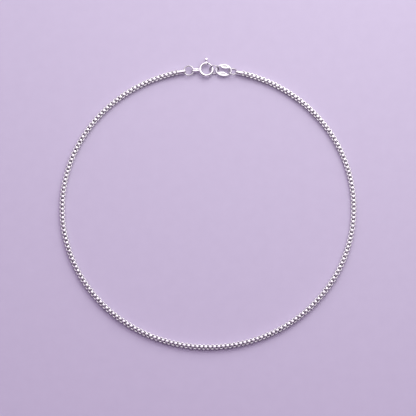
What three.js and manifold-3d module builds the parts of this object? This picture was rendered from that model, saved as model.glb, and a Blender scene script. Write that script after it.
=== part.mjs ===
// Chain anklet in sterling silver: a fastened loop of box chain with a spring ring clasp and an oval tag.
// Millimetres, +Z up. The anklet lies on the plane z = 0, with its clasp at the far side of the loop (+Y).
import * as THREE from "three";
import { mergeGeometries, mergeVertices } from "three/addons/utils/BufferGeometryUtils.js";
import Module from "manifold-3d";

const wasm = await Module();
wasm.setup();

// Loop
const LOOP_LENGTH = 279.4; // once round the middle of the chain and the clasp: 11 inches
const LOOP_ASPECT = 0.967; // the oval's front-to-back axis over its side-to-side axis
const CLASP_HEIGHT = 1.0; // height at which the rings hold the clasp and the tag
const RISE_RUN = 6; // length over which each end of the chain climbs to the clasp
const CLASP_SHIFT = -0.53; // middle of the spring ring, along the loop from its far side
const SPRING_RING_LIFT = 0.1; // the ring that passes under the spring ring props it up by this

// Box chain: each link is a flat band folded into a square ring, turned a quarter from its neighbours
const BAND = 0.9; // width of the band
const SIDE_WALL = 0.35; // band across the link's two sides
const END_WALL = 0.2; // band across the link's two ends
const OPEN_LENGTH = 0.27; // light left between the two neighbours that pass through a link
const SEAM_PLAY = 0.06; // clearance wherever separate pieces interlock

// End caps: a short barrel, slotted for the last link and drilled across for a ring
const CAP_DIAMETER = 1.42;
const CAP_LEFT_LENGTH = 2.9;
const CAP_RIGHT_LENGTH = 2.5;
const CAP_NOSE_WIDTH = 0.85; // the barrel is pinched to this where the ring passes through
const CAP_NOSE_WALL = 0.22; // metal between the ring's hole and the end of the barrel
const CAP_ROUNDING = 0.22;

// Rings: centre-line radius and wire thickness
const JUMP_RADIUS = 1.5;
const JUMP_WIRE = 0.44;
const SMALL_RADIUS = 1.38; // the two thin rings that hold the tag
const SMALL_WIRE = 0.36;
const CONNECTOR_TILT = 36; // lifts the ring's outer side over the bolt
const END_RING_TILT = 35; // lifts the ring's inner side over the tag
const THREAD_PLAY = 0.07; // clearance where a ring passes through another piece
const CONNECTOR_PLAY = 0.21; // where the tilted ring passes the tube's round inner side

// Spring ring: a hollow tube bent round, and the sprung bolt that slides in it
const TUBE_RING_RADIUS = 1.98; // centre line
const TUBE_RADIUS = 0.46;
const TUBE_WALL = 0.14;
const BOLT_PLAY = 0.1; // between the bolt and the bore
const GAP_START = 12; // the ring's opening, in degrees round from the clasp's right-hand side
const GAP_END = 69;
const BOLT_SEAT = 4; // how far the closed bolt enters the far end of the tube
const BOLT_TRAVEL = 60; // how far the trigger draws the bolt back
const TRIGGER_ANGLE = 90;
const BOLT_TAIL = 7; // bolt past the trigger
const NECK_DIAMETER = 0.44; // trigger's stem
const TRIGGER_REACH = 1.28; // from the tube to the tip of the trigger
const TRIGGER_HEAD = 1.0; // diameter of the trigger's round head
const EYE_REACH = 2.3; // from the tube to the end of the soldered eye
const EYE_HEIGHT = 1.25;
const EYE_WIDTH = 1.05;
const EYE_WALL = 0.3;

// Oval tag: two leaf-shaped sides joined by narrow necks
const TAG_LENGTH = 5.2;
const TAG_DEPTH = 4.0;
const TAG_THICKNESS = 0.4;
const TAG_NECK = 0.42;
const TAG_BEARING = 0.94; // how far out a ring bears on the neck, as a share of the hole's half length
const TAG_SLIT = 0.94; // smallest distance between the two leaves
const TAG_LEAF_SHIFT = 0.35; // each leaf is broadest this far from the middle
const TAG_LEAF_BOW = 0.25; // how fast a leaf's inner edge bends away, per millimetre

const CUT_OVERRUN = 1; // cutting shapes reach this far past the metal

// How finely round forms are faceted
const RING_SIDES = 12;
const WIRE_SIDES = 6;
const TUBE_SIDES = 10;
const BORE_SIDES = 8;
const TUBE_STEPS = 16;
const BOLT_STEPS = 7;
const TAG_STEPS = 20;
const SLOT_STEPS = 6;

const silver = () => new THREE.MeshStandardMaterial({ color: 0xe9e7e3, metalness: 1, roughness: 0.18 });
const brightSilver = () => new THREE.MeshStandardMaterial({ color: 0xf2f0ed, metalness: 1, roughness: 0.1 });

const radians = THREE.MathUtils.degToRad;

// Closed solids and the joins and cuts between them
function solidOf(geometry) {
  const bare = geometry.clone();
  bare.deleteAttribute("normal");
  bare.deleteAttribute("uv");
  const merged = mergeVertices(bare, 1e-5);
  const vertProperties = merged.attributes.position.array;
  const triVerts = new Uint32Array(merged.index.array);
  return new wasm.Manifold(new wasm.Mesh({ numProp: 3, vertProperties, triVerts }));
}

function geometryOf(solid) {
  const mesh = solid.getMesh();
  const geometry = new THREE.BufferGeometry();
  geometry.setAttribute("position", new THREE.BufferAttribute(mesh.vertProperties, 3));
  geometry.setIndex(new THREE.BufferAttribute(mesh.triVerts, 1));
  geometry.computeVertexNormals();
  return geometry;
}

function box(length, depth, height, x, y, z) {
  return new THREE.BoxGeometry(length, depth, height).translate(x, y, z);
}

function meshOf(name, geometry, material) {
  const mesh = new THREE.Mesh(geometry, material);
  mesh.name = name;
  return mesh;
}

// Route: the oval that the loop lies in, followed clockwise from its far side
function perimeter(a, b) {
  const h = ((a - b) / (a + b)) ** 2;
  return Math.PI * (a + b) * (1 + (3 * h) / (10 + Math.sqrt(4 - 3 * h)));
}

const HALF_WIDTH = LOOP_LENGTH / perimeter(1, LOOP_ASPECT);
const HALF_DEPTH = HALF_WIDTH * LOOP_ASPECT;
const route = new THREE.EllipseCurve(0, 0, HALF_WIDTH, HALF_DEPTH, Math.PI / 2, -1.5 * Math.PI, true);
route.arcLengthDivisions = 4000;

function routeAt(distance) {
  const share = THREE.MathUtils.euclideanModulo(distance / LOOP_LENGTH, 1);
  const point = route.getPointAt(share);
  const tangent = route.getTangentAt(share);
  return { point, tangent, outward: new THREE.Vector2(-tangent.y, tangent.x) };
}

// Direction of the straight line from one place on the route to another
function heading(from, to) {
  return routeAt(to).point.sub(routeAt(from).point).angle();
}

// The clasp's pieces in their order along the loop, each distance worked out from the pieces it joins
const LINK_WIDTH = BAND + 2 * SIDE_WALL;
const LINK_LENGTH = 4 * END_WALL + OPEN_LENGTH;
const LINK_PITCH = LINK_LENGTH - 2 * END_WALL;
const CHAIN_HEIGHT = LINK_WIDTH / 2;
const TUBE_OUTER = TUBE_RING_RADIUS + TUBE_RADIUS;
const BORE_RADIUS = TUBE_RADIUS - TUBE_WALL;
const BOLT_RADIUS = BORE_RADIUS - BOLT_PLAY;

// How far a ring's wire curves away from a straight hole while it passes through a piece
function sweep(radius, through) {
  return radius - Math.sqrt(radius ** 2 - (through / 2) ** 2);
}

const JUMP_SWEEP = sweep(JUMP_RADIUS - JUMP_WIRE / 2, CAP_NOSE_WIDTH);
const END_SWEEP = sweep(SMALL_RADIUS - SMALL_WIRE / 2, CAP_NOSE_WIDTH);
const JUMP_HOLE = JUMP_WIRE + JUMP_SWEEP + 2 * THREAD_PLAY;
const END_HOLE = SMALL_WIRE + END_SWEEP + 2 * THREAD_PLAY;

// How far from its middle a tilted ring's wire is while it passes through a plate
function passing(tilt, thickness) {
  const rise = thickness / 2 + SMALL_WIRE / 2 + THREAD_PLAY;
  const climb = Math.min(1, rise / (SMALL_RADIUS * Math.sin(radians(tilt))));
  return SMALL_RADIUS * Math.sqrt(1 - climb ** 2) - SMALL_WIRE / 2 - THREAD_PLAY;
}

const NECK_INSIDE = (TAG_LENGTH / 2 - TAG_NECK) * TAG_BEARING;

const EYE_END = TUBE_OUTER + EYE_REACH;
const EYE_SWEEP = sweep(JUMP_RADIUS - JUMP_WIRE / 2, EYE_WIDTH);
const EYE_SEAT = EYE_WALL + EYE_SWEEP + THREAD_PLAY + JUMP_WIRE / 2;
const JUMP_AT = CLASP_SHIFT - EYE_END + EYE_SEAT - JUMP_RADIUS;
const CAP_LEFT_HOLE_AT = JUMP_AT - JUMP_RADIUS + JUMP_SWEEP / 2;
const TUBE_INNER = TUBE_RING_RADIUS - TUBE_RADIUS;
const CONNECTOR_AT = CLASP_SHIFT + TUBE_INNER - CONNECTOR_PLAY - SMALL_WIRE / 2 + SMALL_RADIUS;
const TAG_AT = CONNECTOR_AT + passing(CONNECTOR_TILT, TAG_THICKNESS) + NECK_INSIDE;
const END_RING_AT = TAG_AT + NECK_INSIDE + passing(END_RING_TILT, TAG_THICKNESS);
const CAP_RIGHT_HOLE_AT = END_RING_AT + SMALL_RADIUS - END_SWEEP / 2;

// The slotted inner end of a cap: its tongue stands in the last link, round whose end its slot closes
const CAP_SLOT = END_WALL + 2 * SEAM_PLAY;
const CAP_TONGUE = END_WALL + CAP_SLOT;
const LINK_IN_CAP = CAP_TONGUE - SEAM_PLAY;
const CAP_LEFT_NOSE_AT = LOOP_LENGTH + CAP_LEFT_HOLE_AT + JUMP_HOLE / 2 + CAP_NOSE_WALL;
const CAP_RIGHT_NOSE_AT = CAP_RIGHT_HOLE_AT - END_HOLE / 2 - CAP_NOSE_WALL;
const CHAIN_START = CAP_RIGHT_NOSE_AT + CAP_RIGHT_LENGTH - LINK_IN_CAP;
const CHAIN_END = CAP_LEFT_NOSE_AT - CAP_LEFT_LENGTH + LINK_IN_CAP;

// Both ends of the chain finish with a link whose hole faces up, so the number of links is odd
const CHAIN_SPAN = CHAIN_END - CHAIN_START + SEAM_PLAY;
const LINK_COUNT = 1 + 2 * Math.round((CHAIN_SPAN - LINK_LENGTH) / LINK_PITCH / 2);
const LINK_FIT = CHAIN_SPAN / ((LINK_COUNT - 1) * LINK_PITCH + LINK_LENGTH);
const RIGHT_LINKS = Math.ceil(LINK_COUNT / 2);

// The far and near edges of the whole anklet, which put the frame's origin under its middle
const FAR_EDGE = HALF_DEPTH + TUBE_OUTER + TRIGGER_REACH;
const NEAR_EDGE = HALF_DEPTH + LINK_WIDTH / 2;
const LOOP_CENTRE_Y = (NEAR_EDGE - FAR_EDGE) / 2;

// Box chain
function linkGeometry(index) {
  const besideSeam = index === RIGHT_LINKS - 1 || index === RIGHT_LINKS;
  const side = LINK_WIDTH / 2;
  const hole = BAND / 2 + (besideSeam ? SEAM_PLAY : 0);
  const outline = new THREE.Shape();
  outline.moveTo(0, -side).lineTo(LINK_LENGTH, -side).lineTo(LINK_LENGTH, side).lineTo(0, side);
  const inside = new THREE.Path();
  inside.moveTo(END_WALL, -hole).lineTo(END_WALL, hole);
  inside.lineTo(LINK_LENGTH - END_WALL, hole).lineTo(LINK_LENGTH - END_WALL, -hole);
  outline.holes.push(inside);
  const link = new THREE.ExtrudeGeometry(outline, { depth: BAND, bevelEnabled: false });
  link.translate(0, 0, -BAND / 2);
  return index % 2 ? link.rotateX(Math.PI / 2) : link;
}

function chainHeight(distance) {
  const fromEnd = Math.min(distance - CHAIN_START, CHAIN_END - distance);
  const level = THREE.MathUtils.smoothstep(fromEnd, 0, RISE_RUN);
  return THREE.MathUtils.lerp(CLASP_HEIGHT, CHAIN_HEIGHT, level);
}

// A straight run of links from the first index to the last, joined, then laid along the route
function chainGeometry(first, last) {
  const flat = [];
  const upright = [];
  for (let index = first; index <= last; index++) {
    const link = linkGeometry(index).translate((index - first) * LINK_PITCH, 0, 0);
    (index % 2 ? upright : flat).push(link);
  }
  const straight = solidOf(mergeGeometries(flat)).add(solidOf(mergeGeometries(upright)));
  const geometry = geometryOf(straight);
  const start = CHAIN_START + first * LINK_PITCH * LINK_FIT - (first > 0 ? SEAM_PLAY : 0);
  const position = geometry.attributes.position;
  for (let i = 0; i < position.count; i++) {
    const distance = start + position.getX(i) * LINK_FIT;
    const { point, outward } = routeAt(distance);
    point.addScaledVector(outward, position.getY(i));
    position.setXYZ(i, point.x, point.y, chainHeight(distance) + position.getZ(i));
  }
  geometry.computeVertexNormals();
  return geometry;
}

// Cuts one side of a cap's nose down to its flat, which then slopes out to the barrel's full width
function nosePinch(length, hole) {
  const half = CAP_NOSE_WIDTH / 2;
  const outside = CAP_DIAMETER / 2 + CUT_OVERRUN;
  const flatStart = length - CAP_NOSE_WALL - hole;
  const side = new THREE.Shape();
  side.moveTo(flatStart - (outside - half), outside).lineTo(flatStart, half);
  side.lineTo(length + CUT_OVERRUN, half).lineTo(length + CUT_OVERRUN, outside);
  const height = 2 * outside;
  return new THREE.ExtrudeGeometry(side, { depth: height, bevelEnabled: false }).translate(0, 0, -outside);
}

// End cap along +X, from its slotted end at x = 0 to its nose. The ring's hole is rolled to the ring's tilt.
function endCapGeometry(length, hole, roll) {
  const radius = CAP_DIAMETER / 2;
  const profile = [
    [0, 0],
    [radius, 0],
    [radius, length - CAP_ROUNDING],
    [radius - CAP_ROUNDING, length],
    [0, length],
  ].map(([r, along]) => new THREE.Vector2(r, along));
  const barrel = new THREE.LatheGeometry(profile, RING_SIDES);
  barrel.rotateZ(-Math.PI / 2);
  const half = BAND / 2 - SEAM_PLAY;
  const cheek = radius - half + CUT_OVERRUN;
  const cheekLength = CAP_TONGUE + CUT_OVERRUN;
  const cheekAt = (CAP_TONGUE - CUT_OVERRUN) / 2;
  const cuts = [
    box(cheekLength, cheek, 4 * radius, cheekAt, half + cheek / 2, 0),
    box(cheekLength, cheek, 4 * radius, cheekAt, -half - cheek / 2, 0),
    box(CAP_SLOT, 4 * radius, BAND + 2 * SEAM_PLAY, END_WALL + CAP_SLOT / 2, 0, 0),
    nosePinch(length, hole).rotateX(roll),
    nosePinch(length, hole).rotateX(roll + Math.PI),
    box(hole, 4 * radius, hole, 0, 0, 0)
      .rotateX(roll)
      .translate(length - CAP_NOSE_WALL - hole / 2, 0, 0),
  ];
  return geometryOf(cuts.reduce((solid, cut) => solid.subtract(solidOf(cut)), solidOf(barrel)));
}

function ringGeometry(radius, wire) {
  return new THREE.TorusGeometry(radius, wire / 2, WIRE_SIDES, RING_SIDES);
}

// Spring ring
function circlePoints(radius, sides) {
  const points = [];
  for (let i = 0; i < sides; i++) {
    const angle = (2 * Math.PI * (i + 0.5)) / sides;
    points.push(new THREE.Vector2(radius * Math.cos(angle), radius * Math.sin(angle)));
  }
  return points;
}

// The tube's centre line between two angles, as a curve in the plane z = 0
class Bend extends THREE.Curve {
  constructor(from, to) {
    super();
    this.from = radians(from);
    this.to = radians(to);
  }

  getPoint(t, target = new THREE.Vector3()) {
    const angle = THREE.MathUtils.lerp(this.from, this.to, t);
    return target.set(TUBE_RING_RADIUS * Math.cos(angle), TUBE_RING_RADIUS * Math.sin(angle), 0);
  }
}

function bentBar(from, to, section, steps) {
  const extrudePath = new Bend(from, to);
  return new THREE.ExtrudeGeometry(section, { steps, extrudePath, bevelEnabled: false });
}

function sector(inner, outer, from, to, height) {
  const shape = new THREE.Shape();
  for (let i = 0; i <= SLOT_STEPS; i++) {
    const angle = radians(THREE.MathUtils.lerp(from, to, i / SLOT_STEPS));
    shape[i ? "lineTo" : "moveTo"](outer * Math.cos(angle), outer * Math.sin(angle));
  }
  for (let i = SLOT_STEPS; i >= 0; i--) {
    const angle = radians(THREE.MathUtils.lerp(from, to, i / SLOT_STEPS));
    shape.lineTo(inner * Math.cos(angle), inner * Math.sin(angle));
  }
  const slab = new THREE.ExtrudeGeometry(shape, { depth: height, bevelEnabled: false });
  return slab.translate(0, 0, -height / 2);
}

function stadium(target, from, to, height) {
  const radius = height / 2;
  target.absarc(to - radius, 0, radius, -Math.PI / 2, Math.PI / 2);
  target.absarc(from + radius, 0, radius, Math.PI / 2, 1.5 * Math.PI);
  return target;
}

// The eye is soldered to the tube's wall, short of its bore. It points at the jump ring, its hole across.
function eyeGeometry() {
  const root = TUBE_RING_RADIUS + BORE_RADIUS + TUBE_WALL / 4;
  const outline = stadium(new THREE.Shape(), -EYE_END, -root, EYE_HEIGHT);
  const holeHeight = EYE_HEIGHT - 2 * EYE_WALL;
  outline.holes.push(stadium(new THREE.Path(), -EYE_END + EYE_WALL, -TUBE_OUTER - EYE_WALL / 2, holeHeight));
  const eye = new THREE.ExtrudeGeometry(outline, { depth: EYE_WIDTH, curveSegments: 2, bevelEnabled: false });
  eye.translate(0, 0, -EYE_WIDTH / 2).rotateX(Math.PI / 2);
  const turn = heading(JUMP_AT, CLASP_SHIFT) - routeAt(CLASP_SHIFT).tangent.angle();
  return eye.rotateZ(turn).translate(0, 0, -SPRING_RING_LIFT);
}

function springRingGeometry() {
  const section = new THREE.Shape(circlePoints(TUBE_RADIUS, TUBE_SIDES));
  section.holes.push(new THREE.Path(circlePoints(BORE_RADIUS, BORE_SIDES)));
  const tube = bentBar(GAP_END, GAP_START + 360, section, TUBE_STEPS);
  const margin = THREE.MathUtils.radToDeg((NECK_DIAMETER / 2 + 2 * BOLT_PLAY) / TUBE_RING_RADIUS);
  const slotHeight = NECK_DIAMETER + 2 * BOLT_PLAY;
  const slotStart = TRIGGER_ANGLE - margin;
  const slotEnd = TRIGGER_ANGLE + BOLT_TRAVEL + margin;
  const slot = sector(TUBE_RING_RADIUS, TUBE_OUTER + CUT_OVERRUN, slotStart, slotEnd, slotHeight);
  return geometryOf(solidOf(tube).add(solidOf(eyeGeometry())).subtract(solidOf(slot)));
}

function springBoltGeometry() {
  const section = new THREE.Shape(circlePoints(BOLT_RADIUS, WIRE_SIDES));
  const bar = bentBar(GAP_START - BOLT_SEAT, TRIGGER_ANGLE + BOLT_TAIL, section, BOLT_STEPS);
  const headAt = TUBE_OUTER + TRIGGER_REACH - TRIGGER_HEAD / 2;
  const stem = headAt - TUBE_RING_RADIUS;
  const neck = new THREE.CylinderGeometry(NECK_DIAMETER / 2, NECK_DIAMETER / 2, stem, BORE_SIDES);
  neck.translate(0, TUBE_RING_RADIUS + stem / 2, 0);
  const head = new THREE.SphereGeometry(TRIGGER_HEAD / 2, RING_SIDES, WIRE_SIDES).translate(0, headAt, 0);
  const trigger = solidOf(neck).add(solidOf(head)).rotate([0, 0, TRIGGER_ANGLE - 90]);
  return geometryOf(solidOf(bar).add(trigger));
}

// Oval tag, lying flat round the origin
function ovalHalfDepth(x, halfLength, halfDepth) {
  return halfDepth * Math.sqrt(Math.max(0, 1 - (x / halfLength) ** 2));
}

function tagGeometry() {
  const outline = new THREE.Shape();
  const inside = new THREE.Path();
  const holeLength = TAG_LENGTH / 2 - TAG_NECK;
  const holeDepth = TAG_DEPTH / 2 - TAG_NECK;
  for (let i = 0; i < TAG_STEPS; i++) {
    const angle = (2 * Math.PI * i) / TAG_STEPS;
    const verb = i ? "lineTo" : "moveTo";
    outline[verb]((TAG_LENGTH / 2) * Math.cos(angle), (TAG_DEPTH / 2) * Math.sin(angle));
    const x = holeLength * Math.cos(angle);
    const side = Math.sign(Math.sin(angle));
    const leaf = TAG_SLIT / 2 + TAG_LEAF_BOW * (side * x - TAG_LEAF_SHIFT) ** 2;
    const edge = Math.min(leaf, ovalHalfDepth(x, holeLength, holeDepth));
    inside[verb](x, i % (TAG_STEPS / 2) ? side * edge : 0);
  }
  outline.holes.push(inside);
  const tag = new THREE.ExtrudeGeometry(outline, { depth: TAG_THICKNESS, bevelEnabled: false });
  return tag.translate(0, 0, -TAG_THICKNESS / 2);
}

// A piece of the clasp at its place on the route, turned to face along it and tilted about that direction
function placed(mesh, distance, { facing = routeAt(distance).tangent.angle(), tilt = 0, lift = 0 } = {}) {
  const { point } = routeAt(distance);
  const seat = new THREE.Group();
  seat.position.set(point.x, point.y, CLASP_HEIGHT + lift);
  seat.rotation.z = facing;
  mesh.rotation.x = radians(tilt);
  seat.add(mesh);
  return seat;
}

function clasp() {
  const group = new THREE.Group();
  const springRing = meshOf("spring_ring", springRingGeometry(), brightSilver());
  const springBolt = meshOf("spring_bolt", springBoltGeometry(), brightSilver());
  const jumpRing = meshOf("jump_ring", ringGeometry(JUMP_RADIUS, JUMP_WIRE), silver());
  const connector = meshOf("connector_ring", ringGeometry(SMALL_RADIUS, SMALL_WIRE), silver());
  const tag = meshOf("oval_tag", tagGeometry(), brightSilver());
  const endRing = meshOf("end_ring", ringGeometry(SMALL_RADIUS, SMALL_WIRE), silver());
  group.add(placed(springRing, CLASP_SHIFT, { lift: SPRING_RING_LIFT }));
  group.add(placed(springBolt, CLASP_SHIFT, { lift: SPRING_RING_LIFT }));
  group.add(placed(jumpRing, JUMP_AT));
  group.add(placed(connector, CONNECTOR_AT, { tilt: CONNECTOR_TILT }));
  group.add(placed(tag, TAG_AT));
  group.add(placed(endRing, END_RING_AT, { tilt: -END_RING_TILT }));
  return group;
}

function endCaps() {
  const group = new THREE.Group();
  const left = meshOf("end_cap_left", endCapGeometry(CAP_LEFT_LENGTH, JUMP_HOLE, 0), silver());
  const rolled = endCapGeometry(CAP_RIGHT_LENGTH, END_HOLE, radians(END_RING_TILT));
  const right = meshOf("end_cap_right", rolled, silver());
  const leftAt = CHAIN_END - LINK_IN_CAP;
  const rightAt = CHAIN_START + LINK_IN_CAP;
  group.add(placed(left, leftAt, { facing: heading(leftAt, JUMP_AT) }));
  group.add(placed(right, rightAt, { facing: heading(rightAt, END_RING_AT) }));
  return group;
}

function chain() {
  const group = new THREE.Group();
  group.add(meshOf("chain_right", chainGeometry(0, RIGHT_LINKS - 1), silver()));
  group.add(meshOf("chain_left", chainGeometry(RIGHT_LINKS, LINK_COUNT - 1), silver()));
  return group;
}

const anklet = new THREE.Group();
anklet.position.y = LOOP_CENTRE_Y;
anklet.add(chain(), endCaps(), clasp());

export default anklet;
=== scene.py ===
import math
import random

import bpy
import numpy as np
from mathutils import Matrix, Vector


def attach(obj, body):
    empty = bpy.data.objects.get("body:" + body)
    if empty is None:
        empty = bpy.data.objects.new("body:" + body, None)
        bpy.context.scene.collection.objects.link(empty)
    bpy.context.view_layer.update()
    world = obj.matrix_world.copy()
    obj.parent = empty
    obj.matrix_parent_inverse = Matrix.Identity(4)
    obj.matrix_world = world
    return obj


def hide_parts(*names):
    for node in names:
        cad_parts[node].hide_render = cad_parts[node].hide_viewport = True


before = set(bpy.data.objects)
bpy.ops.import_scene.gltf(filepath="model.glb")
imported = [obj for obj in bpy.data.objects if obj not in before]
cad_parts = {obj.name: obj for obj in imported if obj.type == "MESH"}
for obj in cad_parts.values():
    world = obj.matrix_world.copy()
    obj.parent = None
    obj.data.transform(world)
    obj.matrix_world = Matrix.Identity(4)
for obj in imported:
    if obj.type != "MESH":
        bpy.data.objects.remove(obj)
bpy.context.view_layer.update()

MM = 0.001
TAU = 2 * math.pi

# Loop, as in the frame: the oval's length and shape, and the heights of the chain and the clasp
LOOP_LENGTH = 279.4
LOOP_ASPECT = 0.967
CLASP_HEIGHT = 1.0
RISE_RUN = 6.0
CLASP_SHIFT = -0.53
SPRING_RING_LIFT = 0.1

# Box chain
BAND = 0.9
SIDE_WALL = 0.35
END_WALL = 0.2
OPEN_LENGTH = 0.27
SEAM_PLAY = 0.06
LINK_WIDTH = BAND + 2 * SIDE_WALL
LINK_LENGTH = 4 * END_WALL + OPEN_LENGTH
LINK_PITCH = LINK_LENGTH - 2 * END_WALL
CHAIN_HEIGHT = LINK_WIDTH / 2
LINK_SLACK = 0.02  # band drawn this much narrower, and its hole wider, than the plain link's
LINK_CORNER = 0.33
HOLE_CORNER = 0.1
LINK_BOW = 0.045  # how far the link's long sides bow out
RIM_WEAR = 0.05  # how far the band's worn edge is rounded down
RIM_SHADE = 0.36  # painted shade on that edge: how far it goes towards the holes' dark painted tone
FACE_CROWN = 0.008
SHADED_END_LINKS = 3  # at each end of the chain, links whose holes are painted in full, black shade
LINK_HOLE_SHADE = 0.58  # how dark the other links' rims and holes are painted, as a share of those: painted shade
LINK_YAW, LINK_PITCHING, LINK_ROLL = 0.006, 0.004, 0.014  # unevenness of the links, in radians

# End caps
CAP_DIAMETER = 1.42
CAP_LEFT_LENGTH = 2.9
CAP_RIGHT_LENGTH = 2.5
CAP_NOSE_WIDTH = 0.85
CAP_NOSE_WALL = 0.22
CAP_ROUNDING = 0.4
CAP_SKIN = 0.01  # barrel turned this much slimmer than the plain one
CAP_LIP = 0.06  # its back edge turned down by this, over CAP_LIP_LENGTH
CAP_LIP_LENGTH = 0.05
CAP_BEVEL = 0.035

# Rings
JUMP_RADIUS = 1.5
JUMP_WIRE = 0.44
SMALL_RADIUS = 1.38
SMALL_WIRE = 0.36
CONNECTOR_TILT = 36.0
END_RING_TILT = 35.0
THREAD_PLAY = 0.07
CONNECTOR_PLAY = 0.21
JOINT_SLIM = 0.86  # a ring's wire at the hairline of its closed joint, as a share of its thickness

# Spring ring
TUBE_RING_RADIUS = 1.98
TUBE_RADIUS = 0.46
TUBE_WALL = 0.14
BOLT_PLAY = 0.1
GAP_START = 12.0
GAP_END = 69.0
BOLT_SEAT = 4.0
BOLT_TRAVEL = 60.0
TRIGGER_ANGLE = 90.0
BOLT_TAIL = 7.0
NECK_DIAMETER = 0.44
TRIGGER_REACH = 1.28
TRIGGER_HEAD = 1.0
STEM_FLARE = 1.6  # stem's thickness where it meets the head, as a share of its own
FLARE_LENGTH = 0.2
HEAD_FLAT = 0.26  # height above the head's middle where its flattened top begins
HEAD_CROWN = 0.45  # share of the ball's rise that is left over that flat
EYE_REACH = 2.3
EYE_HEIGHT = 1.25
EYE_WIDTH = 1.05
EYE_WALL = 0.3
EYE_VALLEY = 0.45  # wall left between the eye's two wires, as a share of their radius
GROOVE_START, GROOVE_END = 71.0, 79.0  # the cut round the tube behind its open end, its floor painted black as shade
GROOVE_DEPTH = 0.1
TUBE_BEVEL = 0.025
TUBE_OUTER = TUBE_RING_RADIUS + TUBE_RADIUS
BORE_RADIUS = TUBE_RADIUS - TUBE_WALL
BOLT_RADIUS = BORE_RADIUS - BOLT_PLAY

# Oval tag
TAG_LENGTH = 5.2
TAG_DEPTH = 4.0
TAG_THICKNESS = 0.4
TAG_NECK = 0.42
TAG_BEARING = 0.94
TAG_SLIT = 0.94
TAG_LEAF_SHIFT = 0.35
TAG_LEAF_BOW = 0.25
LEAF_BLEND = 0.12  # softens the corners where a leaf's inner edge meets the hole's oval
LEAF_FADE = 0.35  # and lets the edge run into that oval at the necks
TAG_EDGE = 0.13  # width of the tag's rounded edge
EDGE_DROP = 0.85  # how far that edge comes down towards the middle of the thickness
FIELD_LENGTH = 1.0  # half the length of the bare oval field pressed into each leaf
FIELD_DEPTH = 0.33
FIELD_SINK = 0.035
FIELD_SHIFT = 0.15  # along the tag, from its middle
FIELD_OUT = 1.22  # across the tag, from its middle
FIELD_BOW = 0.06
FIELD_SOFT = 0.16  # share of the field over which its border goes down

# Camera: looks down at the middle of the loop from the near side
CAMERA_ELEVATION = 80.0
CAMERA_DISTANCE = 0.5
VIEW_WIDTH = 0.1290  # of the floor, across the picture at the loop's middle
LOOK_AT = (0.0, -0.53, 0.8)  # from the loop's middle, in millimetres

# Light: a softbox with a small hot light in front of it, at the back of a dim lilac room. Each pair
# of card edges runs from none to full. Places and sizes are in metres.
SOFTBOX_AT = (0.06, 0.19, 0.27)
SOFTBOX_SIZE = (0.56, 0.5)
SOFTBOX_LEVEL = 1.08
SOFTBOX_TINT = (0.98, 1.02, 0.955)
HOT_AT = (0.08, 0.22, 0.22)
HOT_SIZE = 0.15
HOT_LEVEL = 2.5
ROOM_LOW = (0.06, 0.03, 0.085)
ROOM_HIGH = (0.47, 0.34, 0.54)
BLACK_CARDS = (0.07, 0.14)
WHITE_CARDS = (0.72, 0.95)
WHITE_CARD_LEVEL = 0.55
FLOOR_DARK = (0.70, 0.633, 0.795)
FLOOR_LIGHT = (0.72, 0.653, 0.815)
FLOOR_HALF = 1.5
FLOOR_DROP = 0.00002  # keeps the floor clear of the links' undersides

SEED = 11

# Meshes: points closer than WELD become one; angles, in degrees, above which an edge is rounded or
# stays sharp; how far past a hollow's wall a face's middle may lie and still count as inside it
WELD = 0.001
BEVEL_ANGLE = 32
SHARP_ANGLE = 40
HOLLOW_REACH = 0.02
OVERRUN = 1.0  # cutting shapes reach this far past the metal

# Sockets of a Mix node, by what it mixes
NUMBER_A, NUMBER_B = 2, 3
COLOUR_A, COLOUR_B, COLOUR_OUT = 6, 7, 2


# Route: the oval that the loop lies in, followed clockwise from its far side
def perimeter(a, b):
    h = ((a - b) / (a + b)) ** 2
    return math.pi * (a + b) * (1 + 3 * h / (10 + math.sqrt(4 - 3 * h)))


HALF_WIDTH = LOOP_LENGTH / perimeter(1, LOOP_ASPECT)
HALF_DEPTH = HALF_WIDTH * LOOP_ASPECT
FAR_EDGE = HALF_DEPTH + TUBE_OUTER + TRIGGER_REACH
NEAR_EDGE = HALF_DEPTH + LINK_WIDTH / 2
LOOP_CENTRE_Y = (NEAR_EDGE - FAR_EDGE) / 2

ROUTE_SAMPLES = 20001
_angles = np.linspace(0, TAU, ROUTE_SAMPLES)
_xy = np.stack([HALF_WIDTH * np.sin(_angles), HALF_DEPTH * np.cos(_angles)], 1)
_steps = np.linalg.norm(np.diff(_xy, axis=0), axis=1)
_along = np.concatenate([[0], np.cumsum(_steps)])
_along *= LOOP_LENGTH / _along[-1]


def route_at(distance):
    """The route's point, from the frame's origin, and its direction as an angle, in radians."""
    t = np.interp(distance % LOOP_LENGTH, _along, _angles)
    point = (HALF_WIDTH * math.sin(t), HALF_DEPTH * math.cos(t) + LOOP_CENTRE_Y)
    return point, math.atan2(-HALF_DEPTH * math.sin(t), HALF_WIDTH * math.cos(t))


def ease(t):
    """From 0 to 1, slow at both ends."""
    t = min(1.0, max(0.0, t))
    return t * t * (3 - 2 * t)


def heading(start, end):
    """Direction of the straight line from one place on the route to another."""
    (x0, y0), _ = route_at(start)
    (x1, y1), _ = route_at(end)
    return math.atan2(y1 - y0, x1 - x0)


# The clasp's pieces along the route, as in the frame
def sweep(radius, through):
    """How far a ring's wire curves away from a straight hole while it passes through a piece."""
    return radius - math.sqrt(radius**2 - (through / 2) ** 2)


def passing(tilt):
    """How far from its middle a tilted ring's wire is while it passes through the tag."""
    rise = TAG_THICKNESS / 2 + SMALL_WIRE / 2 + THREAD_PLAY
    climb = min(1, rise / (SMALL_RADIUS * math.sin(math.radians(tilt))))
    return SMALL_RADIUS * math.sqrt(1 - climb**2) - SMALL_WIRE / 2 - THREAD_PLAY


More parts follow.
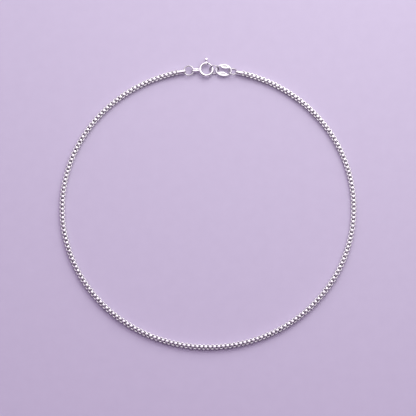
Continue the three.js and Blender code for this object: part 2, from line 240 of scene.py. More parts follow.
JUMP_SWEEP = sweep(JUMP_RADIUS - JUMP_WIRE / 2, CAP_NOSE_WIDTH)
END_SWEEP = sweep(SMALL_RADIUS - SMALL_WIRE / 2, CAP_NOSE_WIDTH)
JUMP_HOLE = JUMP_WIRE + JUMP_SWEEP + 2 * THREAD_PLAY
END_HOLE = SMALL_WIRE + END_SWEEP + 2 * THREAD_PLAY
NECK_INSIDE = (TAG_LENGTH / 2 - TAG_NECK) * TAG_BEARING
EYE_END = TUBE_OUTER + EYE_REACH
EYE_SWEEP = sweep(JUMP_RADIUS - JUMP_WIRE / 2, EYE_WIDTH)
EYE_SEAT = EYE_WALL + EYE_SWEEP + THREAD_PLAY + JUMP_WIRE / 2
JUMP_AT = CLASP_SHIFT - EYE_END + EYE_SEAT - JUMP_RADIUS
CAP_LEFT_HOLE_AT = JUMP_AT - JUMP_RADIUS + JUMP_SWEEP / 2
TUBE_INNER = TUBE_RING_RADIUS - TUBE_RADIUS
CONNECTOR_AT = CLASP_SHIFT + TUBE_INNER - CONNECTOR_PLAY - SMALL_WIRE / 2 + SMALL_RADIUS
TAG_AT = CONNECTOR_AT + passing(CONNECTOR_TILT) + NECK_INSIDE
END_RING_AT = TAG_AT + NECK_INSIDE + passing(END_RING_TILT)
CAP_RIGHT_HOLE_AT = END_RING_AT + SMALL_RADIUS - END_SWEEP / 2
CAP_SLOT = END_WALL + 2 * SEAM_PLAY
CAP_TONGUE = END_WALL + CAP_SLOT
LINK_IN_CAP = CAP_TONGUE - SEAM_PLAY
CAP_LEFT_NOSE_AT = LOOP_LENGTH + CAP_LEFT_HOLE_AT + JUMP_HOLE / 2 + CAP_NOSE_WALL
CAP_RIGHT_NOSE_AT = CAP_RIGHT_HOLE_AT - END_HOLE / 2 - CAP_NOSE_WALL
CHAIN_START = CAP_RIGHT_NOSE_AT + CAP_RIGHT_LENGTH - LINK_IN_CAP
CHAIN_END = CAP_LEFT_NOSE_AT - CAP_LEFT_LENGTH + LINK_IN_CAP
CHAIN_SPAN = CHAIN_END - CHAIN_START + SEAM_PLAY
LINK_COUNT = 1 + 2 * round((CHAIN_SPAN - LINK_LENGTH) / LINK_PITCH / 2)
LINK_FIT = CHAIN_SPAN / ((LINK_COUNT - 1) * LINK_PITCH + LINK_LENGTH)
RIGHT_LINKS = math.ceil(LINK_COUNT / 2)


# Meshes
def new_object(name, verts, faces, material, recess=None):
    """A smooth object from vertices in millimetres. Recess says how deep in a hollow each vertex is, and so
    how much of the material's recess colour is painted on it: shade in the chain's hollows, the field's own
    tone on the tag.
    """
    mesh = bpy.data.meshes.new(name)
    mesh.from_pydata((np.asarray(verts) * MM).tolist(), [], [list(f) for f in faces])
    mesh.validate()
    mesh.polygons.foreach_set("use_smooth", [True] * len(mesh.polygons))
    if recess is not None:
        layer = mesh.attributes.new("recess", "FLOAT", "POINT")
        layer.data.foreach_set("value", np.asarray(recess, dtype=np.float32))
    if material:
        mesh.materials.append(material)
    obj = bpy.data.objects.new(name, mesh)
    bpy.context.collection.objects.link(obj)
    return obj


def grid_faces(rows, columns, close_rows=True):
    """Quads over a grid whose columns close on themselves, and its rows too where close_rows is true."""
    faces = []
    for i in range(rows if close_rows else rows - 1):
        for j in range(columns):
            a, b = i * columns + j, i * columns + (j + 1) % columns
            k = ((i + 1) % rows) * columns
            faces.append((a, b, k + (j + 1) % columns, k + j))
    return faces


def transformed(verts, matrix):
    """Vertices moved by a 4 by 4 matrix, as an array."""
    m = np.array(matrix)
    return np.asarray(verts) @ m[:3, :3].T + m[:3, 3]


def seat_matrix(distance, facing=None, tilt=0.0, lift=0.0):
    """A clasp piece's place: on the route, turned to face along it and tilted about that direction."""
    (x, y), along = route_at(distance)
    turn = Matrix.Rotation(along if facing is None else facing, 4, "Z")
    place = Matrix.Translation((x, y, CLASP_HEIGHT + lift))
    return place @ turn @ Matrix.Rotation(math.radians(tilt), 4, "X")


def applied(obj, kind, **settings):
    """The object with one modifier, applied at once."""
    modifier = obj.modifiers.new(kind.lower(), kind)
    for key, value in settings.items():
        setattr(modifier, key, value)
    graph = bpy.context.evaluated_depsgraph_get()
    made = bpy.data.meshes.new_from_object(obj.evaluated_get(graph))
    obj.modifiers.clear()
    old, obj.data = obj.data, made
    bpy.data.meshes.remove(old)
    return obj


def raw_object(verts, faces):
    """A scratch object in millimetres, for cuts and joins."""
    mesh = bpy.data.meshes.new("scratch")
    mesh.from_pydata(np.asarray(verts).tolist(), [], [list(f) for f in faces])
    mesh.validate()
    obj = bpy.data.objects.new("scratch", mesh)
    bpy.context.collection.objects.link(obj)
    return obj


def combined(base, other, operation):
    """The base joined with or cut by the other solid, which is used up."""
    applied(base, "BOOLEAN", operation=operation, object=other, solver="EXACT")
    spent = other.data
    bpy.data.objects.remove(other)
    bpy.data.meshes.remove(spent)
    return base


def finished(raw, name, matrix, material, bevel=0.0, hollow=None):
    """A scratch solid as a piece: edges rounded over, shaded smooth and set in its place in metres.

    Hollow tells, for the middle of one of its faces, how deep in a hollow it is, from 0 to 1, and so how
    much shade is painted on it."""
    if bevel:
        angle = math.radians(BEVEL_ANGLE)
        applied(raw, "BEVEL", width=bevel, segments=2, limit_method="ANGLE", angle_limit=angle)
    applied(raw, "WELD", merge_threshold=WELD)
    mesh = raw.data
    if hollow:
        layer = mesh.attributes.new("recess", "FLOAT", "FACE")
        layer.data.foreach_set("value", [hollow(*face.center) for face in mesh.polygons])
    mesh.transform(Matrix.Scale(MM, 4) @ matrix)
    mesh.polygons.foreach_set("use_smooth", [True] * len(mesh.polygons))
    mesh.set_sharp_from_angle(angle=math.radians(SHARP_ANGLE))
    mesh.materials.clear()
    mesh.materials.append(material)
    mesh.name = name
    raw.name = name
    return raw


def box_solid(low, high):
    (x0, y0, z0), (x1, y1, z1) = low, high
    corners = [(x, y, z) for x in (x0, x1) for y in (y0, y1) for z in (z0, z1)]
    faces = [(0, 1, 3, 2), (4, 6, 7, 5), (0, 4, 5, 1), (2, 3, 7, 6), (0, 2, 6, 4), (1, 5, 7, 3)]
    return raw_object(corners, faces)


def lathe_solid(profile, sides):
    """A solid turned about X from (along, radius) points, closed at both ends."""
    verts = []
    for along, radius in profile:
        for j in range(sides):
            a = TAU * j / sides
            verts.append((along, radius * math.cos(a), radius * math.sin(a)))
    faces = grid_faces(len(profile), sides, close_rows=False)
    last = (len(profile) - 1) * sides
    faces.append(tuple(range(sides - 1, -1, -1)))
    faces.append(tuple(range(last, last + sides)))
    return raw_object(verts, faces)


# Materials
def node(tree, kind, **settings):
    """A shader node. Each setting is an input's value or, where no input has its name, a property."""
    made = tree.nodes.new("ShaderNode" + kind)
    for key, value in settings.items():
        if key in made.inputs:
            made.inputs[key].default_value = value
        else:
            setattr(made, key, value)
    return made


def ramp(tree, source, low, high, stops):
    """The first colour up to low and the second from high on, with all tones between."""
    made = tree.nodes.new("ShaderNodeValToRGB")
    made.color_ramp.elements[0].position = low
    made.color_ramp.elements[1].position = high
    made.color_ramp.elements[0].color = (*stops[0], 1)
    made.color_ramp.elements[1].color = (*stops[1], 1)
    tree.links.new(source, made.inputs["Fac"])
    return made.outputs["Color"]


def maths(tree, operation, *values):
    """A math node's result, from sockets or plain numbers."""
    made = node(tree, "Math", operation=operation)
    for socket, value in zip(made.inputs, values):
        if isinstance(value, (int, float)):
            socket.default_value = value
        else:
            tree.links.new(value, socket)
    return made.outputs[0]


def smooth_step(tree, value, edges, start, end):
    """Runs softly from start to end as the value goes from one edge to the other."""
    made = node(tree, "MapRange", interpolation_type="SMOOTHSTEP")
    for name, number in zip(("From Min", "From Max", "To Min", "To Max"), (*edges, start, end)):
        made.inputs[name].default_value = number
    tree.links.new(value, made.inputs["Value"])
    return made.outputs["Result"]


def mixed_colour(tree, blend, first, second):
    made = node(tree, "Mix", data_type="RGBA", blend_type=blend)
    made.inputs["Factor"].default_value = 1.0
    tree.links.new(first, made.inputs[COLOUR_A])
    tree.links.new(second, made.inputs[COLOUR_B])
    return made.outputs[COLOUR_OUT]


def silver(name, bright, worn, smooth, rough, scratch, recess=None):
    """Polished silver: faint clouding, fine scratches and grime, with the recess colour painted in where the
    recess attribute says: painted shade in hollows; on the tag, its field's own tone instead.
    """
    material = bpy.data.materials.new(name)
    material.use_nodes = True
    tree = material.node_tree
    shader = tree.nodes["Principled BSDF"]
    shader.inputs["Metallic"].default_value = 1.0
    link = tree.links.new
    coords = node(tree, "TexCoord").outputs["Object"]
    cloud = node(tree, "TexNoise", Scale=900.0, Detail=4.0, Roughness=0.6)
    link(coords, cloud.inputs["Vector"])
    fine = node(tree, "TexNoise", Scale=9000.0, Detail=3.0, Roughness=0.7)
    link(coords, fine.inputs["Vector"])
    stretch = node(tree, "Mapping")
    stretch.inputs["Scale"].default_value = (2500.0, 26000.0, 9000.0)
    stretch.inputs["Rotation"].default_value = (0.0, 0.0, 0.5)
    link(coords, stretch.inputs["Vector"])
    lines = node(tree, "TexNoise", Scale=1.0, Detail=2.0, Roughness=0.5)
    link(stretch.outputs["Vector"], lines.inputs["Vector"])
    tone = ramp(tree, cloud.outputs["Fac"], 0.35, 0.62, (worn, bright))
    # the recess colour goes where the recess attribute says: painted shade in the hollows, the field's own
    # tone on the tag
    if recess:
        hollow = node(tree, "Attribute", attribute_name="recess")
        shade = node(tree, "Mix", data_type="RGBA", blend_type="MIX")
        link(hollow.outputs["Fac"], shade.inputs["Factor"])
        link(tone, shade.inputs[COLOUR_A])
        shade.inputs[COLOUR_B].default_value = (*recess, 1)
        tone = shade.outputs[COLOUR_OUT]
    link(tone, shader.inputs["Base Color"])
    gloss = node(tree, "MapRange")
    gloss.inputs["From Min"].default_value = 0.3
    gloss.inputs["From Max"].default_value = 0.7
    gloss.inputs["To Min"].default_value = smooth
    gloss.inputs["To Max"].default_value = rough
    link(fine.outputs["Fac"], gloss.inputs["Value"])
    link(gloss.outputs["Result"], shader.inputs["Roughness"])
    mixed = node(tree, "Mix", data_type="FLOAT")
    mixed.inputs["Factor"].default_value = 0.5
    link(lines.outputs["Fac"], mixed.inputs[NUMBER_A])
    link(fine.outputs["Fac"], mixed.inputs[NUMBER_B])
    bump = node(tree, "Bump", Strength=scratch, Distance=0.00002)
    link(mixed.outputs[0], bump.inputs["Height"])
    link(bump.outputs["Normal"], shader.inputs["Normal"])
    return material


WHITE = (0.93, 0.925, 0.915)
WARM = (0.86, 0.845, 0.83)
# painted shade for the insides of the chain's holes, the caps' slots and bores, and the clasp's bore and
# groove
HOLLOW_SHADE = (0.05, 0.025, 0.055)
FIELD_TONE = (0.55, 0.535, 0.54)
chain_silver = silver("chain_silver", WHITE, WARM, 0.16, 0.3, 0.25, HOLLOW_SHADE)
cap_silver = silver("cap_silver", WHITE, WARM, 0.16, 0.28, 0.3, HOLLOW_SHADE)
# painted shade: the rings get a dimmer copy of the chain's silver
ring_silver = silver("ring_silver", (0.73, 0.72, 0.715), (0.63, 0.62, 0.61), 0.1, 0.2, 0.2)
clasp_silver = silver("clasp_silver", (0.95, 0.945, 0.94), (0.9, 0.89, 0.88), 0.07, 0.15, 0.12, HOLLOW_SHADE)
bolt_silver = silver("bolt_silver", (0.93, 0.925, 0.915), (0.86, 0.85, 0.84), 0.1, 0.2, 0.15)
# painted shade: the tag gets a dimmer copy of the chain's silver
shaded_tag_tones = (0.80, 0.795, 0.79), (0.75, 0.745, 0.74)
tag_silver = silver("tag_silver", *shaded_tag_tones, 0.16, 0.27, 0.35, FIELD_TONE)


# Box chain
def rounded_outline(half_length, half_width, radius, bow):
    """Points round a rounded oblong, counter-clockwise, with its long sides bowed out."""
    points = []
    corner_steps = 4
    signs = ((1, -1), (1, 1), (-1, 1), (-1, -1))
    for quarter, (sx, sy) in enumerate(signs):
        centre = (sx * (half_length - radius), sy * (half_width - radius))
        start = math.radians(90 * quarter - 90)
        for k in range(corner_steps + 1):
            a = start + math.radians(90) * k / corner_steps
            points.append((centre[0] + radius * math.cos(a), centre[1] + radius * math.sin(a)))
        if quarter % 2 == 0:
            points.append((sx * half_length, 0))
        else:
            points.append((0, sy * half_width))
    for n, (x, y) in enumerate(points):
        if abs(y) > 1e-6:
            points[n] = (x, y + math.copysign(bow, y) * max(0, 1 - (x / half_length) ** 2))
    return np.array(points)


def link_template():
    """One link about its middle: long along X, wide along Y, its hole along Z. Gives vertices and recess,
    the share of painted shade at each.
    """
    outer = rounded_outline(LINK_LENGTH / 2, LINK_WIDTH / 2 - LINK_BOW, LINK_CORNER, LINK_BOW)
    inner = rounded_outline(LINK_LENGTH / 2 - END_WALL, BAND / 2 + LINK_SLACK, HOLE_CORNER, 0.0)
    half = BAND / 2 - LINK_SLACK
    rim_steps = 6
    rim = []  # over the band's worn edge: share of the way in, height, and how much painted shade it gets
    for k in range(rim_steps + 1):
        a = math.pi * k / rim_steps
        share = (1 - math.cos(a)) / 2
        rim_shade = max(RIM_SHADE, (share - 0.6) * 2) if k else 0.0
        rim.append((share, half - RIM_WEAR * (1 - math.sin(a)), rim_shade))
    under = [(share, -height, hollow) for share, height, hollow in reversed(rim)]
    # the hole's wall is painted in full shade; the underside's edge gets the same painted shade as the rim
    section = [(0.0, 0.0, 0.0), *rim, (1.0, 0.0, 1.0), *under]
    verts, recess = [], []
    for (ox, oy), (ix, iy) in zip(outer, inner):
        reach = math.hypot(ox, oy)
        for share, height, hollow in section:
            push = FACE_CROWN * (1 - (height / half) ** 2) if share == 0 else 0.0
            x = ox + (ix - ox) * share + push * ox / reach
            y = oy + (iy - oy) * share + push * oy / reach
            verts.append((x, y, height))
            recess.append(hollow)
    return np.array(verts), np.array(recess), len(outer), len(section)


def chain_height(distance):
    from_end = min(distance - CHAIN_START, CHAIN_END - distance)
    return CLASP_HEIGHT + (CHAIN_HEIGHT - CLASP_HEIGHT) * ease(from_end / RISE_RUN)


def link_matrix(index, jitter):
    """A link's place: on the route, turned a quarter from its neighbours, and slightly uneven."""
    start = CHAIN_START + index * LINK_PITCH * LINK_FIT - (SEAM_PLAY if index >= RIGHT_LINKS else 0)
    distance = start + LINK_LENGTH * LINK_FIT / 2
    (x, y), along = route_at(distance)
    step = 0.2
    slope = (chain_height(distance + step) - chain_height(distance - step)) / (2 * step)
    turn = Matrix.Rotation(along + jitter.gauss(0, LINK_YAW), 4, "Z")
    pitch = Matrix.Rotation(-math.atan(slope) + jitter.gauss(0, LINK_PITCHING), 4, "Y")
    roll = Matrix.Rotation(math.radians(90 * (index % 2)) + jitter.gauss(0, LINK_ROLL), 4, "X")
    return Matrix.Translation((x, y, chain_height(distance))) @ turn @ pitch @ roll


def chain(name, first, last, jitter):
    """The links from the first index to the last, in one piece."""
    template, hollow, rows, columns = link_template()
    quads = np.array(grid_faces(rows, columns))[:, ::-1]
    verts, faces, recess = [], [], []
    for index in range(first, last + 1):
        faces.append(quads + len(verts) * len(template))
        verts.append(transformed(template, link_matrix(index, jitter)))
        # painted shade in the holes and on the rims: full in the links by the caps, a share of it in the
        # others
        from_cap = min(index, LINK_COUNT - 1 - index)
        recess.append(hollow * (1.0 if from_cap < SHADED_END_LINKS else LINK_HOLE_SHADE))
    verts, faces, recess = (np.concatenate(part) for part in (verts, faces, recess))
    return new_object(name, verts, faces, chain_silver, recess)


# Rings
def wire_ring(name, radius, wire, matrix, seam_angle):
    """A round wire ring with the hairline of its closed joint at seam_angle."""
    around, sides = 96, 18
    verts = []
    for i in range(around):
        a = TAU * i / around
        off = abs((a - seam_angle + math.pi) % TAU - math.pi) / (TAU / around)
        slim = JOINT_SLIM if off < 0.5 else 1.0
        for j in range(sides):
            b = TAU * j / sides
            r = radius + wire / 2 * slim * math.cos(b)
            verts.append((r * math.cos(a), r * math.sin(a), wire / 2 * slim * math.sin(b)))
    faces = [tuple(reversed(f)) for f in grid_faces(around, sides)]
    return new_object(name, transformed(verts, matrix), faces, ring_silver)


# End caps
def nose_pinch(length, hole):
    """Cuts one side of a cap's nose down to its flat, which slopes out to the barrel's full width."""
    half, outside = CAP_NOSE_WIDTH / 2, CAP_DIAMETER / 2 + OVERRUN
    flat_start = length - CAP_NOSE_WALL - hole
    outline = [
        (flat_start - (outside - half), outside),
        (flat_start, half),
        (length + OVERRUN, half),
        (length + OVERRUN, outside),
    ]
    verts = [(x, y, z) for z in (-outside, outside) for x, y in outline]
    faces = [(3, 2, 1, 0), (4, 5, 6, 7)] + [(k, (k + 1) % 4, 4 + (k + 1) % 4, 4 + k) for k in range(4)]
    return raw_object(verts, faces)


def end_cap(name, length, hole, roll, matrix):
    """A cap along +X, from its slotted end to its nose, whose round bore is rolled to its ring's tilt."""
    radius = CAP_DIAMETER / 2 - CAP_SKIN
    profile = [(0.0, radius - CAP_LIP), (CAP_LIP_LENGTH, radius)]
    for k in range(8):
        a = math.radians(90 * k / 8)
        along = length - CAP_ROUNDING * (1 - math.sin(a))
        profile.append((along, radius - CAP_ROUNDING * (1 - math.cos(a))))
    profile.append((length, radius - CAP_ROUNDING))
    cap = lathe_solid(profile, 48)
    half = BAND / 2 - SEAM_PLAY
    reach = 2 * OVERRUN
    for side in (1, -1):
        low, high = sorted((side * half, side * reach))
        combined(cap, box_solid((-OVERRUN, low, -reach), (CAP_TONGUE, high, reach)), "DIFFERENCE")
    tall = BAND / 2 + SEAM_PLAY
    slot = box_solid((END_WALL, -reach, -tall), (END_WALL + CAP_SLOT, reach, tall))
    combined(cap, slot, "DIFFERENCE")
    for side in (0, 1):
        pinch = nose_pinch(length, hole)
        pinch.data.transform(Matrix.Rotation(roll + math.pi * side, 4, "X"))
        combined(cap, pinch, "DIFFERENCE")
    bore_at = length - CAP_NOSE_WALL - hole / 2
    bore = lathe_solid([(-reach, hole / 2), (reach, hole / 2)], 32)
    bore.data.transform(Matrix.Rotation(math.radians(90), 4, "Z"))
    bore.data.transform(Matrix.Rotation(roll, 4, "X"))
    bore.data.transform(Matrix.Translation((bore_at, 0, 0)))
    combined(cap, bore, "DIFFERENCE")

    # faces in the slot and inside the bore are painted in full shade
    def hollow(x, y, z):
        in_slot = x < CAP_TONGUE + 1.5 * HOLLOW_REACH and abs(z) < tall + HOLLOW_REACH
        across = z * math.cos(roll) - y * math.sin(roll)
        through = y * math.cos(roll) + z * math.sin(roll)
        in_bore = math.hypot(x - bore_at, across) < hole / 2 + HOLLOW_REACH
        return 1.0 if in_slot or in_bore and abs(through) < CAP_NOSE_WIDTH / 4 else 0.0

    return finished(cap, name, matrix, cap_silver, CAP_BEVEL, hollow)


# Spring ring
def arc_tube(start, end, steps, outer, inner, sides):
    """A hollow tube bent round the origin between two angles, closed at its ends by its wall."""
    verts = []
    for i in range(steps + 1):
        a = math.radians(start + (end - start) * i / steps)
        for radius in (outer, inner):
            for j in range(sides):
                b = TAU * (j + 0.5) / sides
                r = TUBE_RING_RADIUS + radius * math.cos(b)
                verts.append((r * math.cos(a), r * math.sin(a), radius * math.sin(b)))
    faces = []
    row = 2 * sides
    for i in range(steps):
        for j in range(sides):
            k = (j + 1) % sides
            a, b = i * row, (i + 1) * row
            faces.append((a + j, b + j, b + k, a + k))
            faces.append((a + sides + j, a + sides + k, b + sides + k, b + sides + j))
    last = steps * row
    for j in range(sides):
        k = (j + 1) % sides
        faces.append((j, k, sides + k, sides + j))
        faces.append((last + j, last + sides + j, last + sides + k, last + k))
    return raw_object(verts, faces)


def sector_solid(inner, outer, start, end, height):
    """A flat slab of a ring between two radii and two angles."""
    steps = 40
    verts = []
    for i in range(steps + 1):
        a = math.radians(start + (end - start) * i / steps)
        for r, z in ((inner, -height / 2), (outer, -height / 2), (outer, height / 2), (inner, height / 2)):
            verts.append((r * math.cos(a), r * math.sin(a), z))
    faces = [tuple(reversed(f)) for f in grid_faces(steps + 1, 4, close_rows=False)]
    faces.append((0, 1, 2, 3))
    last = steps * 4
    faces.append((last + 3, last + 2, last + 1, last))
    return raw_object(verts, faces)


def eye_solid(turn):
    """The soldered eye: two wires side by side, bent into a long loop whose hole lies across the anklet."""
    root = TUBE_RING_RADIUS + BORE_RADIUS + TUBE_WALL / 4
    half_wall = EYE_WALL / 2
    rise = EYE_HEIGHT / 2 - half_wall
    left, right = -EYE_END + EYE_HEIGHT / 2, -root - EYE_HEIGHT / 2
    path = []
    bend_steps = 16
    for centre, start in ((right, -90), (left, 90)):
        for k in range(bend_steps + 1):
            a = math.radians(start + 180 * k / bend_steps)
            path.append(((centre + rise * math.cos(a), rise * math.sin(a)), (math.cos(a), math.sin(a))))
    section = []
    lobe = EYE_WIDTH / 4
    for side in (1, -1):
        for k in range(17):
            y = side * (-2 * lobe + 4 * lobe * k / 16)
            within = (abs(y) - lobe) / lobe
            bulge = half_wall * math.sqrt(max(0, 1 - within**2))
            if abs(abs(y) - 2 * lobe) > 1e-6:
                bulge = max(bulge, EYE_VALLEY * half_wall)
            section.append((side * bulge, y))
    section = [p for n, p in enumerate(section) if n not in (17, 33)]
    verts = []
    for (x, z), (nx, nz) in path:
        for off, y in section:
            verts.append((x + nx * off, y, z + nz * off))
    eye = raw_object(verts, grid_faces(len(path), len(section)))
    eye.data.transform(Matrix.Translation((0, 0, -SPRING_RING_LIFT)) @ Matrix.Rotation(turn, 4, "Z"))
    return eye


def spring_ring(matrix):
    """The clasp's tube with its eye, the trigger's slot and the groove, with painted shade in the bore and
    on the groove's floor.
    """
    ring = arc_tube(GAP_END, GAP_START + 360, 110, TUBE_RADIUS, BORE_RADIUS, 32)
    turn = heading(JUMP_AT, CLASP_SHIFT) - route_at(CLASP_SHIFT)[1]
    combined(ring, eye_solid(turn), "UNION")
    margin = math.degrees((NECK_DIAMETER / 2 + 2 * BOLT_PLAY) / TUBE_RING_RADIUS)
    slot_height = NECK_DIAMETER + 2 * BOLT_PLAY
    slot_end = TRIGGER_ANGLE + BOLT_TRAVEL + margin
    slot_start = TRIGGER_ANGLE - margin
    slot = sector_solid(TUBE_RING_RADIUS, TUBE_OUTER + OVERRUN, slot_start, slot_end, slot_height)
    combined(ring, slot, "DIFFERENCE")
    groove_floor = TUBE_RADIUS - GROOVE_DEPTH
    groove = arc_tube(GROOVE_START, GROOVE_END, 4, TUBE_RADIUS + 2 * GROOVE_DEPTH, groove_floor, 32)
    combined(ring, groove, "DIFFERENCE")

    # the bore and the groove's floor are painted in full shade
    def hollow(x, y, z):
        from_middle = math.hypot(math.hypot(x, y) - TUBE_RING_RADIUS, z)
        return 1.0 if from_middle < TUBE_RADIUS - GROOVE_DEPTH / 2 else 0.0

    return finished(ring, "spring_ring_body", matrix, clasp_silver, TUBE_BEVEL, hollow)


def bolt_bar():
    """The sprung wire, with a domed tip."""
    start, end = GAP_START - BOLT_SEAT, TRIGGER_ANGLE + BOLT_TAIL
    dome = math.degrees(BOLT_RADIUS / TUBE_RING_RADIUS)
    stations = []
    for k in range(7):
        a = math.radians(90 * k / 6)
        stations.append((start + dome * (1 - math.cos(a)), BOLT_RADIUS * max(math.sin(a), 0.05)))
    for k in range(1, 45):
        stations.append((start + dome + (end - start - dome) * k / 44, BOLT_RADIUS))
    sides = 24
    verts = []
    for angle, radius in stations:
        a = math.radians(angle)
        for j in range(sides):
            b = TAU * j / sides
            r = TUBE_RING_RADIUS + radius * math.cos(b)
            verts.append((r * math.cos(a), r * math.sin(a), radius * math.sin(b)))
    faces = [tuple(reversed(f)) for f in grid_faces(len(stations), sides, close_rows=False)]
    faces.append(tuple(range(sides)))
    last = (len(stations) - 1) * sides
    faces.append(tuple(range(last + sides - 1, last - 1, -1)))
    return raw_object(verts, faces)


def spring_bolt(matrix):
    """The bolt with its trigger: a stem that flares into a ball flattened above and below."""
    head_at = TUBE_OUTER + TRIGGER_REACH - TRIGGER_HEAD / 2
    stem, ball = NECK_DIAMETER / 2, TRIGGER_HEAD / 2
    profile = [(TUBE_RING_RADIUS - 0.02, stem), (head_at - ball - FLARE_LENGTH, stem)]
    low = math.asin(stem * STEM_FLARE / ball)
    for k in range(15):
        a = low + (math.pi - low) * k / 14
        profile.append((head_at - ball * math.cos(a), max(ball * math.sin(a), 0.02)))
    trigger = lathe_solid(profile, 40)
    for vertex in trigger.data.vertices:
        over = max(0.0, abs(vertex.co.z) - HEAD_FLAT)
        vertex.co.z -= math.copysign(over * (1 - HEAD_CROWN), vertex.co.z)
    trigger.data.transform(Matrix.Rotation(math.radians(TRIGGER_ANGLE), 4, "Z"))
    bolt = combined(bolt_bar(), trigger, "UNION")
    return finished(bolt, "bolt_and_trigger", matrix, bolt_silver, 0.0)


# Oval tag
def tag_edges(angle):
    """Points of the tag's outer outline and of its hole at one angle round it."""
    outer = (TAG_LENGTH / 2 * math.cos(angle), TAG_DEPTH / 2 * math.sin(angle))
    hole_length, hole_depth = TAG_LENGTH / 2 - TAG_NECK, TAG_DEPTH / 2 - TAG_NECK
    x = hole_length * math.cos(angle)
    side = math.copysign(1, math.sin(angle))
    leaf = TAG_SLIT / 2 + TAG_LEAF_BOW * (side * x - TAG_LEAF_SHIFT) ** 2
    oval = hole_depth * math.sqrt(max(0, 1 - (x / hole_length) ** 2))
    nearest = math.exp(-leaf / LEAF_BLEND) + math.exp(-oval / LEAF_BLEND)
    edge = -LEAF_BLEND * math.log(nearest) if oval > 0 else 0
    fade = min(1.0, oval / LEAF_FADE)
    return outer, (x, side * (edge * fade + oval * (1 - fade)))


def field_sink(x, y):
    """How far the bare field on each leaf is pressed in, from 0 outside it to 1."""
    side = math.copysign(1, y)
    u = x - side * FIELD_SHIFT
    v = abs(y) - FIELD_OUT + FIELD_BOW * u * u
    return ease((1 - math.hypot(u / FIELD_LENGTH, v / FIELD_DEPTH)) / FIELD_SOFT)


def oval_tag(matrix):
    """The tag: rows of points from its outline in to its hole, over the top and back underneath."""
    around, across = 240, 26
    half = TAG_THICKNESS / 2
    verts, field = [], []
    for i in range(around):
        outer, inner = (np.array(p) for p in tag_edges(TAU * (i + 0.5) / around))
        width = np.linalg.norm(outer - inner)
        rows = []
        for k in range(across + 1):
            share = k / across
            from_edge = min(share, 1 - share) * width
            turn = min(1.0, from_edge / TAG_EDGE)
            drop = half * (1 - math.sqrt(max(0, 1 - (1 - turn) ** 2))) * EDGE_DROP
            x, y = outer + (inner - outer) * share
            rows.append((x, y, half - drop))
        sinks = [field_sink(x, y) for x, y, z in rows]
        top = [(x, y, z - FIELD_SINK * sink) for (x, y, z), sink in zip(rows, sinks)]
        bottom = [(x, y, -z) for x, y, z in reversed(rows)]
        verts += top + bottom
        field += sinks + [0.0] * len(bottom)
    columns = 2 * (across + 1)
    faces = [tuple(reversed(f)) for f in grid_faces(around, columns)]
    return new_object("tag_plate", transformed(verts, matrix), faces, tag_silver, field)


# Set: a plain floor, soft lights and the camera
def floor_material():
    material = bpy.data.materials.new("floor_paper")
    material.use_nodes = True
    tree = material.node_tree
    shader = tree.nodes["Principled BSDF"]
    grain = node(tree, "TexNoise", Scale=260.0, Detail=5.0, Roughness=0.6)
    tree.links.new(node(tree, "TexCoord").outputs["Object"], grain.inputs["Vector"])
    tone = ramp(tree, grain.outputs["Fac"], 0.3, 0.7, (FLOOR_DARK, FLOOR_LIGHT))
    tree.links.new(tone, shader.inputs["Base Color"])
    shader.inputs["Roughness"].default_value = 0.75
    return material


def stage_floor():
    mesh = bpy.data.meshes.new("floor")
    corners = [(x * FLOOR_HALF, y * FLOOR_HALF, 0) for x, y in ((-1, -1), (1, -1), (1, 1), (-1, 1))]
    mesh.from_pydata(corners, [], [(0, 1, 2, 3)])
    mesh.materials.append(floor_material())
    floor = bpy.data.objects.new("floor", mesh)
    floor.location.z = -FLOOR_DROP
    bpy.context.collection.objects.link(floor)


def soft_light(name, place, target, size, radiance, colour):
    """A soft rectangular light that looks equally bright from everywhere in front of it."""
    data = bpy.data.lights.new(name, "AREA")
    data.shape = "RECTANGLE"
    data.size, data.size_y = size
    data.energy = radiance * math.pi * size[0] * size[1]
    data.color = colour
    lamp = bpy.data.objects.new(name, data)
    lamp.location = place
    lamp.rotation_euler = (Vector(target) - Vector(place)).to_track_quat("-Z", "Y").to_euler()
    bpy.context.collection.objects.link(lamp)


def room():
    """A dim lilac room: paler towards the ceiling, white cards at both sides and black ones in front."""
    world = bpy.data.worlds.new("room")
    world.use_nodes = True
    tree = world.node_tree
    axes = node(tree, "SeparateXYZ")
    tree.links.new(node(tree, "TexCoord").outputs["Generated"], axes.inputs["Vector"])
    aside = maths(tree, "ABSOLUTE", axes.outputs["X"])
    front = maths(tree, "MULTIPLY", axes.outputs["Y"], -1.0)
    clear = smooth_step(tree, maths(tree, "MULTIPLY", aside, front), BLACK_CARDS, 1.0, 0.02)
    white = smooth_step(tree, aside, WHITE_CARDS, 0.0, WHITE_CARD_LEVEL)
    height = ramp(tree, axes.outputs["Z"], 0.02, 0.5, (ROOM_LOW, ROOM_HIGH))
    lit = mixed_colour(tree, "ADD", height, white)
    shade = mixed_colour(tree, "MULTIPLY", lit, clear)
    tree.links.new(shade, tree.nodes["Background"].inputs["Color"])
    bpy.context.scene.world = world


def lights():
    soft_light("softbox", SOFTBOX_AT, (0, 0, 0), SOFTBOX_SIZE, SOFTBOX_LEVEL, SOFTBOX_TINT)
    soft_light("hot_spot", HOT_AT, (0, 0, 0), (HOT_SIZE, HOT_SIZE), HOT_LEVEL, SOFTBOX_TINT)
    room()


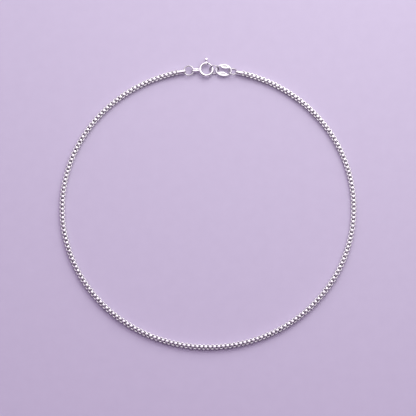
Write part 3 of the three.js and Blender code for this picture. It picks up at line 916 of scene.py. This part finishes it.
def camera():
    """Looks down at the loop's middle so that VIEW_WIDTH of the floor fills the picture."""
    data = bpy.data.cameras.new("camera")
    data.sensor_width = 36.0
    data.lens = data.sensor_width * CAMERA_DISTANCE / VIEW_WIDTH
    data.clip_start, data.clip_end = 0.01, 10
    eye = bpy.data.objects.new("camera", data)
    target = Vector(LOOK_AT) * MM + Vector((0, LOOP_CENTRE_Y * MM, 0))
    elevation = math.radians(CAMERA_ELEVATION)
    away = Vector((0, -math.cos(elevation), math.sin(elevation)))
    eye.location = target + away * CAMERA_DISTANCE
    eye.rotation_euler = (-away).to_track_quat("-Z", "Y").to_euler()
    bpy.context.collection.objects.link(eye)
    bpy.context.scene.camera = eye


def place(piece, body, slot, *nodes):
    """Says what a piece rides on and which CAD nodes it stands for. Slot, the finish it has, is not used."""
    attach(piece, body)
    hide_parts(*nodes)


def build_anklet():
    jitter = random.Random(SEED)
    place(chain("links_right", 0, RIGHT_LINKS - 1, jitter), "anklet", "chain_silver", "chain_right")
    place(chain("links_left", RIGHT_LINKS, LINK_COUNT - 1, jitter), "anklet", "chain_silver", "chain_left")
    left_at, right_at = CHAIN_END - LINK_IN_CAP, CHAIN_START + LINK_IN_CAP
    seat = seat_matrix(left_at, heading(left_at, JUMP_AT))
    left = end_cap("cap_left", CAP_LEFT_LENGTH, JUMP_HOLE, 0.0, seat)
    place(left, "anklet", "cap_silver", "end_cap_left")
    seat = seat_matrix(right_at, heading(right_at, END_RING_AT))
    roll = math.radians(END_RING_TILT)
    right = end_cap("cap_right", CAP_RIGHT_LENGTH, END_HOLE, roll, seat)
    place(right, "anklet", "cap_silver", "end_cap_right")
    jump = wire_ring("ring_jump", JUMP_RADIUS, JUMP_WIRE, seat_matrix(JUMP_AT), math.radians(115))
    place(jump, "anklet", "ring_silver", "jump_ring")
    tilted = seat_matrix(CONNECTOR_AT, tilt=CONNECTOR_TILT)
    connector = wire_ring("ring_connector", SMALL_RADIUS, SMALL_WIRE, tilted, math.radians(70))
    place(connector, "anklet", "ring_silver", "connector_ring")
    tilted = seat_matrix(END_RING_AT, tilt=-END_RING_TILT)
    end = wire_ring("ring_end", SMALL_RADIUS, SMALL_WIRE, tilted, math.radians(-100))
    place(end, "anklet", "ring_silver", "end_ring")
    clasp_seat = seat_matrix(CLASP_SHIFT, lift=SPRING_RING_LIFT)
    place(spring_ring(clasp_seat), "anklet", "clasp_silver", "spring_ring")
    place(spring_bolt(clasp_seat), "bolt", "bolt_silver", "spring_bolt")
    place(oval_tag(seat_matrix(TAG_AT)), "anklet", "tag_silver", "oval_tag")


camera()
stage_floor()
lights()
build_anklet()
bpy.context.scene.view_settings.view_transform = "Standard"
